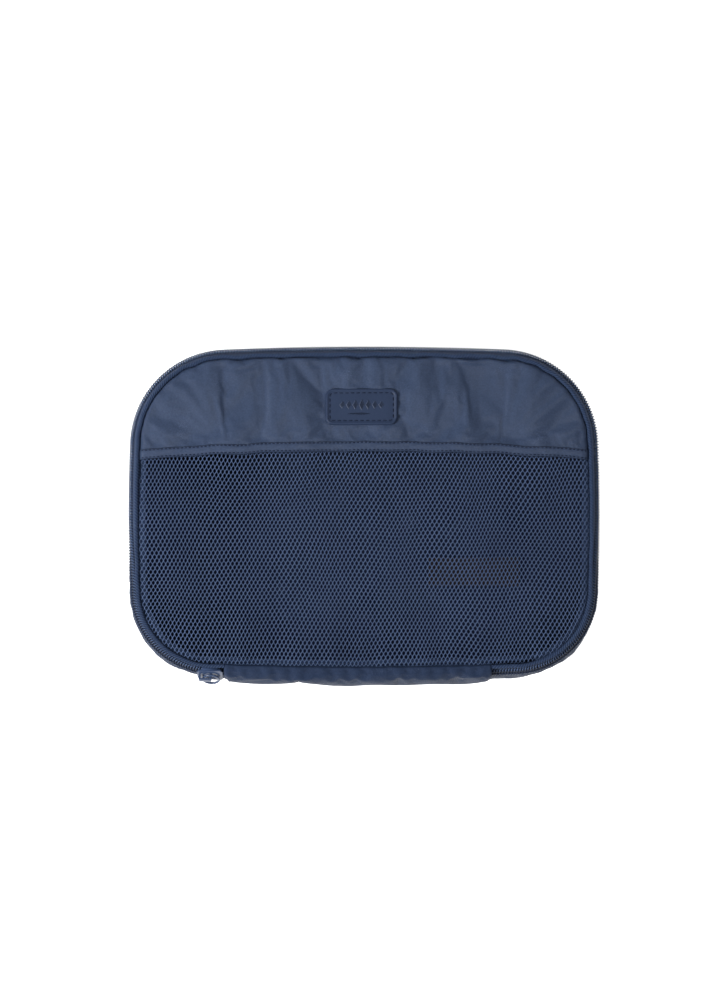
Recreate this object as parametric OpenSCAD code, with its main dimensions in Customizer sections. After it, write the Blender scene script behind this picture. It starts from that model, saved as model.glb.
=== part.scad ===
// Packing cube: a soft, zipped travel pouch with a mesh lid, lying flat on its base.
// +Z is up, the hinge side faces -Y, and the origin is the centre of the base's underside.

/* [Overall size] */
// Width across the closed zip, left to right
body_w = 250; // [200:1:320]
// Depth across the closed zip, hinge side to back
body_d = 176; // [145:1:240]
// Height from the floor to the top of the lid
body_h = 65; // [52:1:100]

/* [Outline] */
// Corner radius at the hinge side
front_corner_r = 45; // [34:1:56]
// Corner radius at the back
back_corner_r = 52; // [34:1:62]
// Radius of the gentle bow of the left and right sides
side_bow_r = 950; // [700:10:3000]
// Radius of the gentle bow of the front and back
end_bow_r = 1970; // [1000:10:4000]

/* [Fabric] */
// Thickness of the nylon with its coating and seam turnings
fabric_t = 0.8; // [0.5:0.1:1.2]
// Thickness of the zip's woven tapes
tape_t = 0.6; // [0.4:0.1:0.8]
// How far the hinge gusset bulges past the zip outline
hinge_bulge = 3.3; // [0:0.1:6]
// Inset of the lid panels' sewn edge from the zip outline
panel_inset = 6.5; // [5.5:0.1:9]
// Width of the bound seam allowance inside
binding_w = 2; // [1.5:0.1:3]

/* [Zip] */
// Width of one coil, from the middle slot outwards
coil_w = 2.5; // [2:0.1:3]
// Thickness of the coils
coil_t = 2; // [1.5:0.1:2.4]
// Half of the slot between the two coils
coil_slot = 0.5; // [0.4:0.05:0.7]
// Height of the zip's middle below the top of the lid
chain_drop = 8; // [7.5:0.1:10]
// Lean of the zip towards the lid, from upright
chain_lean = 30; // [16:1:32]
// Length of straight zip past the left front corner
left_run = 5.6; // [4:0.1:7]
// Length of straight zip before the right front corner
right_run = 12; // [6:0.1:20]

/* [Slider] */
// Length of the slider along the zip
slider_l = 13.5; // [11:0.1:16.2]
// Width of the slider at its mouth
slider_w = 10; // [8.4:0.1:12]
// Thickness of the slider's two plates
plate_t = 1.1; // [0.8:0.1:1.4]
// Length of the slider's bridge
bridge_l = 7; // [5.9:0.1:8.4]
// How far the bridge sits from the slider's middle, towards its nose
bridge_shift = 2.4; // [1:0.1:3]
// Width of the slider's bridge
bridge_w = 2.2; // [1.8:0.1:2.6]
// Outer diameter of the pull ring
ring_d = 9.7; // [8:0.1:12]
// Wire diameter of the pull ring
ring_wire = 1.3; // [1:0.1:1.5]

/* [Lid details] */
// Distance of the hem's front edge behind the middle
hem_y = 30; // [10:1:45]
// Width of the double-stitched hem
hem_w = 6.2; // [5:0.1:9]
// Length of the sewn-on badge
badge_w = 37.6; // [25:0.1:60]
// Height of the sewn-on badge
badge_d = 19; // [12:0.1:24]
// Thickness of the badge
badge_t = 1.5; // [1:0.1:2.5]
// Pitch of the seams' stitches
stitch_pitch = 3.3; // [2.5:0.1:4]
// Pitch of the badge's stitches
badge_pitch = 2.9; // [2.2:0.1:3.5]

/* [Hidden] */

navy = [0.13, 0.18, 0.31];
navy_mesh = [0.10, 0.14, 0.26];
navy_dark = [0.06, 0.09, 0.18];
painted_navy = [0.22, 0.28, 0.42];
label_brown = [0.16, 0.12, 0.11];

clear = 0.3;                // gap between pieces that move past each other
fit_gap = 0.35;             // running gap between the slider and what it runs on
split_gap_deg = 0.6;        // gap between the fixed and the opening stretch of the lid's zip
coil_edge = coil_slot + coil_w;
chain_z = body_h - chain_drop;
lean_in = sin(chain_lean);
lean_up = cos(chain_lean);
// The lower coil's outer face lies on the outline, which sets the inset of the zip's middle.
chain_n = coil_edge * lean_in + (tape_t / 2 + coil_t) * lean_up;
flat_tape = slider_w / 2 + 0.4;   // flat stretch of tape each side of the zip's middle
tape_foot = chain_z - 13;         // lower edge of the gusset's tape
gusset_top = chain_z - 7.5;       // folded upper edge of the gusset's fabric
base_inset = 2;                   // inset of the gusset's foot
foot_top = fabric_t + 1.5;        // height up to which the foot stands upright
allowance = binding_w + 1.1;      // seam allowance under the lid panels
hem_t = fabric_t + 0.4;
thread_w = 0.45;
thread_t = 0.3;

// ---- Outline: four corner arcs joined by four gently bowed sides, all tangent -----------

side_centre = body_w / 2 - side_bow_r;
end_centre = body_d / 2 - end_bow_r;

// Centre of a corner arc of radius r in the first quadrant: it touches both bows from inside.
function corner_centre(r) =
    let (reach = norm([side_centre, end_centre]),
         to_side = side_bow_r - r,
         to_end = end_bow_r - r,
         along = (to_side * to_side - to_end * to_end + reach * reach) / (2 * reach),
         off = sqrt(to_side * to_side - along * along),
         dir = [-side_centre, end_centre] / reach)
    [side_centre + dir.x * along - dir.y * off, dir.y * along + dir.x * off];

front_c = corner_centre(front_corner_r);
back_c = corner_centre(back_corner_r);
function side_angle(c) = atan2(c.y, c.x - side_centre);
function end_angle(c) = atan2(c.y - end_centre, c.x);

// Each arc: centre, radius, first and last angle of its outward normal, number of steps.
// They run clockwise seen from above, from the middle of the hinge side round to it again.
corner_steps = 14;
ARCS = [
    [[0, -end_centre], end_bow_r, 270, 180 + end_angle(front_c), 3],
    [-front_c, front_corner_r, 180 + end_angle(front_c), 180 + side_angle(front_c), corner_steps],
    [[-side_centre, 0], side_bow_r, 180 + side_angle(front_c), 180 - side_angle(back_c), 6],
    [[-back_c.x, back_c.y], back_corner_r, 180 - side_angle(back_c), 180 - end_angle(back_c),
     corner_steps],
    [[0, end_centre], end_bow_r, 180 - end_angle(back_c), end_angle(back_c), 8],
    [back_c, back_corner_r, end_angle(back_c), side_angle(back_c), corner_steps],
    [[side_centre, 0], side_bow_r, side_angle(back_c), -side_angle(front_c), 6],
    [[front_c.x, -front_c.y], front_corner_r, -side_angle(front_c), -end_angle(front_c),
     corner_steps],
    [[0, -end_centre], end_bow_r, -end_angle(front_c), -90, 3]
];

// Stations [x, y, normal angle] along the outline, from one normal angle down to another.
function stations(from, to) =
    let (parts = [for (a = ARCS)
             let (hi = min(from, a[2]), lo = max(to, a[3]))
             if (hi > lo + 0.01)
                 let (steps = max(1, round(a[4] * (hi - lo) / (a[2] - a[3]))))
                 [for (i = [0 : steps]) let (t = hi + (lo - hi) * i / steps)
                      [a[0].x + a[1] * cos(t), a[0].y + a[1] * sin(t), t]]])
    [for (k = [0 : len(parts) - 1]) for (i = [(k == 0 ? 0 : 1) : len(parts[k]) - 1]) parts[k][i]];

LOOP = let (all = stations(270, -90)) [for (i = [0 : len(all) - 2]) all[i]];

// Normal angle of the outline's front bow at x.
function front_angle(x) = asin(x / end_bow_r) - 90;

hinge_left = -front_c.x + left_run;
hinge_right = front_c.x - right_run;

// ---- Shapes that follow the outline ------------------------------------------------------

function at(s, p) = [s.x - p.x * cos(s.z), s.y - p.x * sin(s.z), p.y];

// Sweeps a closed section along stations; section(s) gives points [inset, height].
module sweep(line, section, closed = false) {
    m = len(section(line[0]));
    k = len(line);
    points = [for (s = line) for (p = section(s)) at(s, p)];
    sides = [for (i = [0 : closed ? k - 1 : k - 2]) for (j = [0 : m - 1])
        let (a = i * m + j, b = i * m + (j + 1) % m, c = ((i + 1) % k) * m)
        each [[a, c + (j + 1) % m, b], [a, c + j, c + (j + 1) % m]]];
    caps = closed ? [] : [[for (j = [0 : m - 1]) j], [for (j = [m - 1 : -1 : 0]) (k - 1) * m + j]];
    polyhedron(points, concat(sides, caps), convexity = 10);
}

// A strip of thickness t about a line of points: the section of a piece of cloth.
function strip(line, t) =
    let (n = len(line),
         side = [for (i = [0 : n - 1])
             let (d = line[min(i + 1, n - 1)] - line[max(i - 1, 0)])
             [-d.y, d.x] / norm(d) * t / 2])
    concat([for (i = [0 : n - 1]) line[i] + side[i]],
           [for (i = [n - 1 : -1 : 0]) line[i] - side[i]]);

// A point of the zip's own plane: u towards the lid along the tape, m outwards from it.
function chain(u, m) = [chain_n + u * lean_in - m * lean_up, chain_z + u * lean_up + m * lean_in];

function box_section(n0, n1, z0, z1) = [[n0, z0], [n0, z1], [n1, z1], [n1, z0]];

module plan(inset) {
    polygon([for (s = LOOP) let (p = at(s, [inset, 0])) [p.x, p.y]]);
}

module rounded_rect(w, d, r) {
    square([w - 2 * r, d], center = true);
    square([w, d - 2 * r], center = true);
    for (x = [-1, 1], y = [-1, 1])
        translate([x * (w / 2 - r), y * (d / 2 - r)]) circle(r, $fn = 48);
}

// ---- Base and gussets --------------------------------------------------------------------

// How far the cloth bulges at a station: only along the hinge side, fading to the corners.
function bulge(s) = s.y > 0 ? 0 : hinge_bulge * max(0, cos(90 * min(1, abs(s.x) / (front_c.x + 30))));
function swell(z) = z > tape_foot ? 0 : sin(180 * z / tape_foot);

module base_panel() {
    color(navy) linear_extrude(fabric_t) plan(base_inset - fabric_t / 2);
}

function side_section(s) =
    let (levels = [foot_top, 0.2 * tape_foot, 0.35 * tape_foot, 0.5 * tape_foot, 0.65 * tape_foot,
                   0.8 * tape_foot, tape_foot, gusset_top],
         tape_face = chain(-flat_tape, 0).x - 0.1,
         upper = tape_face - (tape_t + fabric_t) / 2)
    strip(concat([[base_inset, fabric_t]], [for (z = levels)
        [upper + (base_inset - upper) * max(0, 1 - (z - foot_top) / (0.3 * tape_foot))
         - bulge(s) * swell(z - foot_top), z]]), fabric_t);

module side_gusset() {
    color(navy) sweep(stations(left_end, right_end), function(s) side_section(s));
}

// The hinge gusset turns over the top edge to the lid's seam, so its bulge starts at the lid.
function hinge_section(s) =
    let (mid = 0.55 * body_h,
         top = panel_inset - 2 * clear,
         crest = -bulge(s),
         shoulder = [for (a = [90 : -15 : 0])
             [crest + 0.7 + (top - crest - 0.7) * (1 - cos(a)),
              body_h - fabric_t + (body_h - fabric_t - mid) * 0.45 * (sin(a) - 1)]],
         lower = [for (t = [0.12 : 0.22 : 0.9])
             [crest + 0.7 * (1 - sin(180 * t)) + (base_inset - crest) * pow(t, 4),
              foot_top + (shoulder[6].y - foot_top) * (1 - t)]])
    strip(concat(shoulder, lower, [[base_inset, foot_top], [base_inset, fabric_t]]), fabric_t);

module hinge_gusset() {
    steps = 20;
    first = hinge_left + clear;
    last = hinge_right - clear;
    line = [for (i = [0 : steps])
        let (x = first + (last - first) * i / steps, t = front_angle(x))
        [x, -end_centre + end_bow_r * sin(t), t]];
    color(navy) sweep([for (i = [steps : -1 : 0]) line[i]], function(s) hinge_section(s));
}

module base_binding() {
    n = base_inset + fabric_t / 2 + 2 * clear;
    color(navy_dark)
        sweep(LOOP, function(s) box_section(n, n + binding_w, fabric_t, fabric_t + 1.6), true);
}

// ---- Zip -----------------------------------------------------------------------------------

slider_x = hinge_left - 0.7 - slider_l / 2;
slider_angle = 360 - acos((slider_x + front_c.x) / (front_corner_r - chain_n));
// The zip's last stretch at each end stays closed, beyond the slider's parking place.
fixed_deg = asin((slider_l + 1.5 - left_run) / (front_corner_r - chain_n)) + 3;
left_split = 270 - fixed_deg;
right_split = -90 + fixed_deg;
left_end = 360 + front_angle(hinge_left);
right_end = front_angle(hinge_right);

function coil_section(side) = [
    chain(side * coil_slot, tape_t / 2), chain(side * coil_slot, tape_t / 2 + coil_t * 0.7),
    chain(side * (coil_slot + 0.3), tape_t / 2 + coil_t),
    chain(side * (coil_edge - 0.5), tape_t / 2 + coil_t),
    chain(side * coil_edge, tape_t / 2 + coil_t * 0.6), chain(side * coil_edge, tape_t / 2)];

function reversed(list) = [for (i = [len(list) - 1 : -1 : 0]) list[i]];

module coil(from, to, side) {
    ring = side > 0 ? coil_section(1) : reversed(coil_section(-1));
    color(navy_dark) sweep(stations(from, to), function(s) ring);
}

module lid_coil() { coil(left_split - split_gap_deg, right_split + split_gap_deg, 1); }
module gusset_coil() { coil(left_end, right_end, -1); }
module lid_coil_end_left() { coil(left_end, left_split, 1); }
module lid_coil_end_right() { coil(right_split, right_end, 1); }

under_panel = body_h - fabric_t - tape_t / 2;

module lid_zip_tape() {
    line = [chain(coil_slot, 0), chain(2.5, 0), chain(flat_tape, 0),
            [panel_inset - 0.3, under_panel - 0.6], [panel_inset + 0.7, under_panel],
            [panel_inset + allowance, under_panel]];
    ribbon = strip(line, tape_t);
    color(navy)
        sweep(stations(left_split - split_gap_deg, right_split + split_gap_deg), function(s) ribbon);
}

module tape_end(from, to) {
    ribbon = strip([chain(coil_slot, 0), chain(2.5, 0), chain(flat_tape, 0),
                    [panel_inset - 0.4, under_panel - 0.9]], tape_t);
    color(navy) sweep(stations(from, to), function(s) ribbon);
}
module lid_tape_end_left() { tape_end(left_end, left_split); }
module lid_tape_end_right() { tape_end(right_split, right_end); }

module gusset_zip_tape() {
    fold = chain(-flat_tape, 0);
    ribbon = strip([chain(-coil_slot, 0), chain(-2.5, 0), fold, [fold.x - 0.1, fold.y - 1],
                    [fold.x - 0.1, tape_foot]], tape_t);
    color(navy) sweep(stations(left_end, right_end), function(s) ribbon);
}

// ---- Slider, in its own axes: X along the zip, Y towards the lid, Z outwards ---------------

sag = slider_l * slider_l / (8 * front_corner_r);   // how far the curved zip falls back in it
front_face = tape_t / 2 + coil_t + fit_gap;         // inner face of the front plate
back_face = -tape_t / 2 - sag - fit_gap;            // inner face of the back plate
flange_in = coil_edge + fit_gap + 0.1;
wire_gap = 0.55;                                    // room each side of the ring's wire
bridge_room = ring_wire + 2 * wire_gap;
bar_t = 1;
ring_r = (ring_d - ring_wire) / 2;
leg_t = 1.1;                                        // thickness of the bridge's two legs
ring_back = 0.6;                                    // how far behind the bridge's middle the wire crosses
ring_x = -bridge_shift - ring_back;
// The bridge's front leg stands in the ring's hole, which limits the slant of the wire.
leg_corner = [bridge_l / 2 - leg_t + ring_back, bridge_w / 2];
leg_reach = norm(leg_corner);
hole_r = ring_r - ring_wire / 2 - clear;
leg_cos = (leg_reach * leg_reach + ring_r * ring_r - hole_r * hole_r) / (2 * ring_r * leg_reach);
ring_turn = min(28, acos(leg_cos) - atan2(leg_corner.y, leg_corner.x));

module slider_plan() {
    nose = 0.78 * slider_w;
    polygon(concat(
        [for (a = [-90 : 15 : 90])
             [slider_l / 2 - 2 + 2 * cos(a), (slider_w / 2 - 2) * (a < 0 ? -1 : 1) + 2 * sin(a)]],
        [for (a = [90 : 15 : 270])
             [-slider_l / 2 + 2 + 2 * cos(a), (nose / 2 - 2) * (a > 180 ? -1 : 1) + 2 * sin(a)]]));
}

module slider_bridge() {
    rotate([90, 0, 0]) linear_extrude(bridge_w, center = true) difference() {
        union() {
            translate([-bridge_l / 2, 0]) square([bridge_l, bridge_room + bar_t - 1]);
            translate([-bridge_l / 2 + 1, 0]) square([bridge_l - 2, bridge_room + bar_t]);
            for (x = [-1, 1])
                translate([x * (bridge_l / 2 - 1), bridge_room + bar_t - 1]) circle(1, $fn = 32);
        }
        translate([0, bridge_room / 2 - 0.5])
            square([bridge_l - 2 * leg_t, bridge_room + 1], center = true);
    }
}

module slider_shape() {
    translate([0, 0, front_face]) linear_extrude(plate_t) slider_plan();
    translate([0, 0, back_face - plate_t]) linear_extrude(plate_t) slider_plan();
    // Flanges down both edges of the front plate keep the coils in.
    for (y = [-1, 1])
        translate([-slider_l / 2 + 2.5, y > 0 ? flange_in : -slider_w / 2 + 0.4, tape_t / 2 + fit_gap])
            cube([slider_l - 5, slider_w / 2 - 0.4 - flange_in, front_face - tape_t / 2 - fit_gap + 0.1]);
    // The post between the coils joins the two plates.
    translate([slider_l / 2 - 5, -coil_slot / 2, back_face - 0.1])
        cube([3, coil_slot, front_face - back_face + 0.2]);
    translate([-bridge_shift, 0, front_face + plate_t - 0.05]) slider_bridge();
}

// Puts a shape from the slider's axes onto the left front corner.
module on_zip(angle) {
    translate([-front_c.x, -front_c.y, 0]) rotate([0, 0, angle - 270])
        translate([0, -(front_corner_r - chain_n), chain_z]) rotate([90 - chain_lean, 0, 0])
            children();
}

module slider_body() { color(painted_navy) on_zip(slider_angle) slider_shape(); }

module pull_ring() {
    color(painted_navy) on_zip(slider_angle)
        translate([ring_x, 0, front_face + plate_t + bridge_room / 2]) rotate([0, 0, -ring_turn])
            translate([ring_r, 0, 0]) rotate_extrude($fn = 64)
                translate([ring_r, 0]) circle(ring_wire / 2, $fn = 32);
}

// ---- Lid -----------------------------------------------------------------------------------

module lid_part(y0, y1, z0, z1) {
    translate([0, 0, z0]) linear_extrude(z1 - z0) intersection() {
        plan(panel_inset);
        translate([-body_w, y0]) square([2 * body_w, y1 - y0]);
    }
}

module lid_fabric_panel() { color(navy) lid_part(hem_y + hem_w, body_d, body_h - fabric_t, body_h); }
module lid_mesh_panel() { color(navy_mesh) lid_part(-body_d, hem_y, body_h - fabric_t, body_h); }
module lid_hem() { color(navy) lid_part(hem_y, hem_y + hem_w, body_h - fabric_t, body_h - fabric_t + hem_t); }

// Half width of the lid panels at y.
function panel_half(y) =
    let (r = back_corner_r - panel_inset)
    y > back_c.y ? back_c.x + sqrt(max(0, r * r - (y - back_c.y) * (y - back_c.y)))
                 : side_centre + sqrt((side_bow_r - panel_inset) * (side_bow_r - panel_inset) - y * y);

module stitch(l) { cube([l, thread_w, thread_t], center = true); }

module lid_hem_stitching() {
    z = body_h - fabric_t + hem_t + thread_t / 2;
    color(navy_dark)
        for (y = [hem_y + 1.5, hem_y + hem_w - 0.8]) {
            half = panel_half(y) - 2;
            count = floor(2 * half / stitch_pitch);
            for (i = [0 : count - 1])
                translate([(i - (count - 1) / 2) * stitch_pitch, y, z]) stitch(0.7 * stitch_pitch);
        }
}

module lid_binding() {
    top = body_h - fabric_t - tape_t;
    n = panel_inset + allowance - binding_w + 0.2;
    color(navy_dark)
        sweep(LOOP, function(s) box_section(n, n + binding_w, top - 1.6, top), true);
}

badge_x = -1.3;
badge_y = (hem_y + hem_w + body_d / 2 - panel_inset) / 2 - 4;
badge_r = 3;
badge_line = 2.2;   // inset of the badge's stitches

module badge_patch() {
    color(navy) translate([badge_x, badge_y, body_h])
        linear_extrude(badge_t) rounded_rect(badge_w, badge_d, badge_r);
}

module badge_stitching() {
    w = badge_w - 2 * badge_line;
    d = badge_d - 2 * badge_line;
    color(navy_dark) translate([badge_x, badge_y, body_h + badge_t + thread_t / 2]) {
        for (side = [-1, 1]) {
            nx = floor((w - 2) / badge_pitch);
            for (i = [0 : nx - 1])
                translate([(i - (nx - 1) / 2) * badge_pitch, side * d / 2, 0]) stitch(0.7 * badge_pitch);
            ny = floor((d - 2) / badge_pitch);
            for (i = [0 : ny - 1])
                translate([side * w / 2, (i - (ny - 1) / 2) * badge_pitch, 0])
                    rotate([0, 0, 90]) stitch(0.7 * badge_pitch);
        }
    }
}

// ---- Small pieces inside and at the hinge ---------------------------------------------------

module bar_tacks() {
    z = gusset_top - 6;
    color(navy_dark)
        for (end = [[hinge_left, 1], [hinge_right, -1]]) {
            x = end[0] + end[1] * 2;
            s = [x, -end_centre + end_bow_r * sin(front_angle(x)), front_angle(x)];
            translate([x, s.y - bulge(s) - fabric_t, z]) cube([0.9, 1, 5], center = true);
        }
}

module care_label() {
    color(label_brown) translate([60, -31, fabric_t])
        linear_extrude(0.4) square([50, 16], center = true);
}

base_panel();
side_gusset();
hinge_gusset();
base_binding();
gusset_zip_tape();
gusset_coil();
lid_tape_end_left();
lid_tape_end_right();
lid_coil_end_left();
lid_coil_end_right();
bar_tacks();
care_label();
lid_fabric_panel();
lid_mesh_panel();
lid_hem();
lid_hem_stitching();
lid_binding();
lid_zip_tape();
lid_coil();
badge_patch();
badge_stitching();
slider_body();
pull_ring();
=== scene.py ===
"""Packing cube: a soft travel pouch with a net lid, shut by a coil zip round three sides."""

import math

import bmesh
import bpy
import numpy as np
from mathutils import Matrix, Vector
from mathutils.bvhtree import BVHTree


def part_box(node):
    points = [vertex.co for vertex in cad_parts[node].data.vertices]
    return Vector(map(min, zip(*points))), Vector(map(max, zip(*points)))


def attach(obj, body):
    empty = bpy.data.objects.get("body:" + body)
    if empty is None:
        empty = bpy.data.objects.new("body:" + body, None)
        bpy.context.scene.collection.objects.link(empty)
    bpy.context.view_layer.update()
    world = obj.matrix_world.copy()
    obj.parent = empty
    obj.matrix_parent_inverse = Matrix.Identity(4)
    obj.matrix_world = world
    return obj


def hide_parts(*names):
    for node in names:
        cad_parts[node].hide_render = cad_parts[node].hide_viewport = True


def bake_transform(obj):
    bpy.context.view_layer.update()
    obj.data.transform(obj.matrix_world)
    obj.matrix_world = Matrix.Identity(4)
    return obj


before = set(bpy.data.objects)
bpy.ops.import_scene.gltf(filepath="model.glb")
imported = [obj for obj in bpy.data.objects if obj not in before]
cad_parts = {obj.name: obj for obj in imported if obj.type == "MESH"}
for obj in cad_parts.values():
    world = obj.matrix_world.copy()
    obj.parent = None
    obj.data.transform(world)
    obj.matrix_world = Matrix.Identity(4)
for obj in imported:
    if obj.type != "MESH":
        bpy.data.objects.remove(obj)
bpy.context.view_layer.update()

MM = 0.001

# ---- Sizes, in metres --------------------------------------------------------------------

foot_inset = 1.6 * MM                    # the base cloth's edge lies this far inside the zip outline
base_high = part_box("base_panel")[1]
half_w = base_high.x + foot_inset
half_d = base_high.y + foot_inset
lid_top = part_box("lid_fabric_panel")[1].z
hinge_low, hinge_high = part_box("hinge_gusset")
hinge_gap = 0.3 * MM                     # the zip's two ends lie this far outside the hinge gusset
hinge_left = hinge_low.x - hinge_gap
hinge_right = hinge_high.x + hinge_gap

side_bow = 0.950                         # radius of the gentle bow of the left and right sides
end_bow = 1.970                          # radius of the gentle bow of the front and back
front_corner = 0.045                     # radius of the outline's front corners
back_corner = 0.052

cloth_t = 0.4 * MM                       # one layer of coated nylon
seam_inset = 6.5 * MM                    # the lid panels' sewn edge, in from the outline
tape_t = 0.6 * MM
label_t = 0.25 * MM
coil_slot = 0.5 * MM                     # half the room between the two coils
head_gap = 0.75 * coil_slot              # the coils' heads stop this far from the zip's middle
coil_w = 2.5 * MM
coil_t = 2.0 * MM
coil_edge = coil_slot + coil_w           # from the zip's middle to a coil's outer edge
chain_z = lid_top - 8 * MM               # height of the zip's middle
flat_tape = 5.4 * MM                     # flat tape each side of the zip's middle
side_cut = 1.3 * MM                      # the lid's flat tape is this much narrower along sides and back
closed_turn = 16.089                     # degrees of each front corner where the zip stays shut
split_turn = 0.1                         # degrees between the shut and the opening stretch
corner_lean = 30.0                       # degrees that the zip leans in at the front corners
side_lean = 12.0                         # and along the sides and back
lean_from = -0.044                       # from this y back to the middle, one lean turns into the other
coil_pitch = 1.5 * MM
coil_wire = 0.32 * MM                    # radius of the coil's filament
gusset_painted_highlight = 0.3                         # the gusset coil's painted highlight, as a share of the lid coil's: it lies lower, in painted shade
# First and last point of where the shut tapes and the hinge wall would bend with the lid; dress_hinge takes
# them but does not use them.
tape_bend = ((0, -82.6 * MM, 63.4 * MM), (0, -80.6 * MM, 64.8 * MM))
wall_bend = ((0, -84.5 * MM, 62.5 * MM), (0, -80.8 * MM, 64.7 * MM))

lid_crown = 4.2 * MM                     # how far the lid's middle stands above its seam
crown_run = 34 * MM                      # how far in from the seam the crown rises
seam_dip = 2.5 * MM                      # how deep the seam draws the panels down
seam_fall = 1.0 * MM                     # how far in the dip fades
slack_rise = 0.75 * MM                   # broad unevenness of the lid
fold_rise = 0.32 * MM                    # long soft folds in the satin
pleat_rise = 0.45 * MM                   # pleats that run in from the seam
pleat_run = 14 * MM
hem_y = 31.3 * MM                        # front edge of the hem at the middle
hem_sag = 4.6 * MM                       # how far it drops towards its ends
hem_w = 5.4 * MM
stitch_rows = (0.17, 0.86)               # where the two rows of stitches lie across the hem
stitch_pitch = 2.1 * MM
stitch_share = 0.45                      # share of the pitch that shows as thread
hem_thread = 0.27 * MM                   # radius of the sewing threads
badge_thread = 0.24 * MM

net_across = 2.17 * MM                   # pitch of the net's holes along a row
net_along = 3.93 * MM                    # pitch of the holes in a column
net_thick = 0.30 * MM                    # half the thickness of the yarn
hole_half = (0.66 * MM, 0.32 * MM, 1.30 * MM)    # a hole's half width, straight side and half length

hinge_bulge = 2.3 * MM                   # how far the hinge wall's middle stands out
corner_bulge = 1.0 * MM                  # and the wall at the front corners
side_bulge = 2.6 * MM                    # and one place on the right side
bulge_y = 24 * MM                        # where that place is
wall_foot = 0.4 * MM                     # the walls stand this far in from the base cloth's edge
tape_foot = 44 * MM                      # height where the gusset's tape ends
gusset_top = 49.5 * MM                   # height of the side wall


# ---- Outline: four corners joined by four gently bowed sides, all tangent ----------------

side_centre = half_w - side_bow
end_centre = half_d - end_bow


def corner_centre(r):
    """Centre of a corner arc of radius r in the first quadrant, touching both bows from inside."""
    reach = math.hypot(side_centre, end_centre)
    to_side, to_end = side_bow - r, end_bow - r
    along = (to_side**2 - to_end**2 + reach**2) / (2 * reach)
    off = math.sqrt(to_side**2 - along**2)
    dx, dy = -side_centre / reach, end_centre / reach
    return side_centre + dx * along - dy * off, dy * along + dx * off


front_cx, front_cy = corner_centre(front_corner)
back_cx, back_cy = corner_centre(back_corner)


def side_angle(cx, cy):
    """Angle of the outward normal where a corner meets a side's bow."""
    return math.degrees(math.atan2(cy, cx - side_centre))


def end_angle(cx, cy):
    """Angle of the outward normal where a corner meets the front's or the back's bow."""
    return math.degrees(math.atan2(cy - end_centre, cx))


front_side, front_end = side_angle(front_cx, front_cy), end_angle(front_cx, front_cy)
back_side, back_end = side_angle(back_cx, back_cy), end_angle(back_cx, back_cy)

# Each arc: centre, radius, first and last angle of its outward normal, clockwise from above.
ARCS = [
    ((0, -end_centre), end_bow, 270, 180 + front_end),
    ((-front_cx, -front_cy), front_corner, 180 + front_end, 180 + front_side),
    ((-side_centre, 0), side_bow, 180 + front_side, 180 - back_side),
    ((-back_cx, back_cy), back_corner, 180 - back_side, 180 - back_end),
    ((0, end_centre), end_bow, 180 - back_end, back_end),
    ((back_cx, back_cy), back_corner, back_end, back_side),
    ((side_centre, 0), side_bow, back_side, -front_side),
    ((front_cx, -front_cy), front_corner, -front_side, -front_end),
    ((0, -end_centre), end_bow, -front_end, -90),
]
arc_c = np.array([a[0] for a in ARCS])
arc_r = np.array([a[1] for a in ARCS])
arc_from = np.radians([a[2] for a in ARCS])
arc_to = np.radians([a[3] for a in ARCS])
arc_start = np.concatenate([[0], np.cumsum(arc_r * (arc_from - arc_to))])
girth = arc_start[-1]


def outline(s):
    """Points and outward normals at distances s along the outline."""
    s = np.asarray(s, float) % girth
    i = np.clip(np.searchsorted(arc_start, s, side="right") - 1, 0, len(ARCS) - 1)
    t = arc_from[i] - (s - arc_start[i]) / arc_r[i]
    n = np.stack([np.cos(t), np.sin(t)], -1)
    return arc_c[i] + arc_r[i][..., None] * n, n


def run_to(degrees):
    """Distance along the outline to where its normal has that angle."""
    t = math.radians(degrees)
    i = next(k for k in range(len(ARCS)) if arc_from[k] + 1e-9 >= t >= arc_to[k] - 1e-9)
    return arc_start[i] + arc_r[i] * (arc_from[i] - t)


def nearest(x, y):
    """Distance along the outline, and inset from it, of points inside it."""
    x, y = np.broadcast_arrays(np.asarray(x, float), np.asarray(y, float))
    best = np.full(x.shape, np.inf)
    where = np.zeros(x.shape)
    for i in range(len(ARCS)):
        dx, dy = x - arc_c[i, 0], y - arc_c[i, 1]
        t = np.arctan2(dy, dx)
        t = arc_from[i] - np.mod(arc_from[i] - t + 1e-9, 2 * math.pi) + 1e-9
        inset = arc_r[i] - np.hypot(dx, dy)
        better = (t >= arc_to[i] - 1e-6) & (inset < best)
        best = np.where(better, inset, best)
        where = np.where(better, arc_start[i] + arc_r[i] * (arc_from[i] - t), where)
    return where, best


start_s = run_to(270 + math.degrees(math.asin(hinge_left / end_bow)))
end_s = run_to(-90 + math.degrees(math.asin(hinge_right / end_bow)))
left_split = run_to(270 - closed_turn)
right_split = run_to(-90 + closed_turn)
lid_start = run_to(270 - closed_turn - split_turn)
lid_end = run_to(-90 + closed_turn + split_turn)


# ---- Small shared sums -------------------------------------------------------------------

def ease(value, low, high):
    """0 up to low, 1 from high on, and a smooth rise between."""
    t = np.clip((np.asarray(value) - low) / (high - low), 0, 1)
    return t * t * (3 - 2 * t)


def rounds(s, seed, shortest, longest, terms=9):
    """A random wave along the outline that meets itself after one round, about -1 to 1."""
    rng = np.random.default_rng(seed)
    total = 0
    for cycles in rng.integers(round(girth / longest), round(girth / shortest), terms):
        total = total + np.sin(2 * math.pi * (cycles * np.asarray(s) / girth + rng.random()))
    return total / math.sqrt(terms)


def swells(x, y, seed, shortest, longest, terms=10):
    """A random two-way wave over a flat piece, about -1 to 1."""
    rng = np.random.default_rng(seed)
    total = 0
    for _ in range(terms):
        turn = rng.random() * math.pi
        length = rng.uniform(shortest, longest)
        along = x * math.cos(turn) + y * math.sin(turn)
        total = total + np.sin(2 * math.pi * (along / length + rng.random()))
    return total / math.sqrt(terms)


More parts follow.
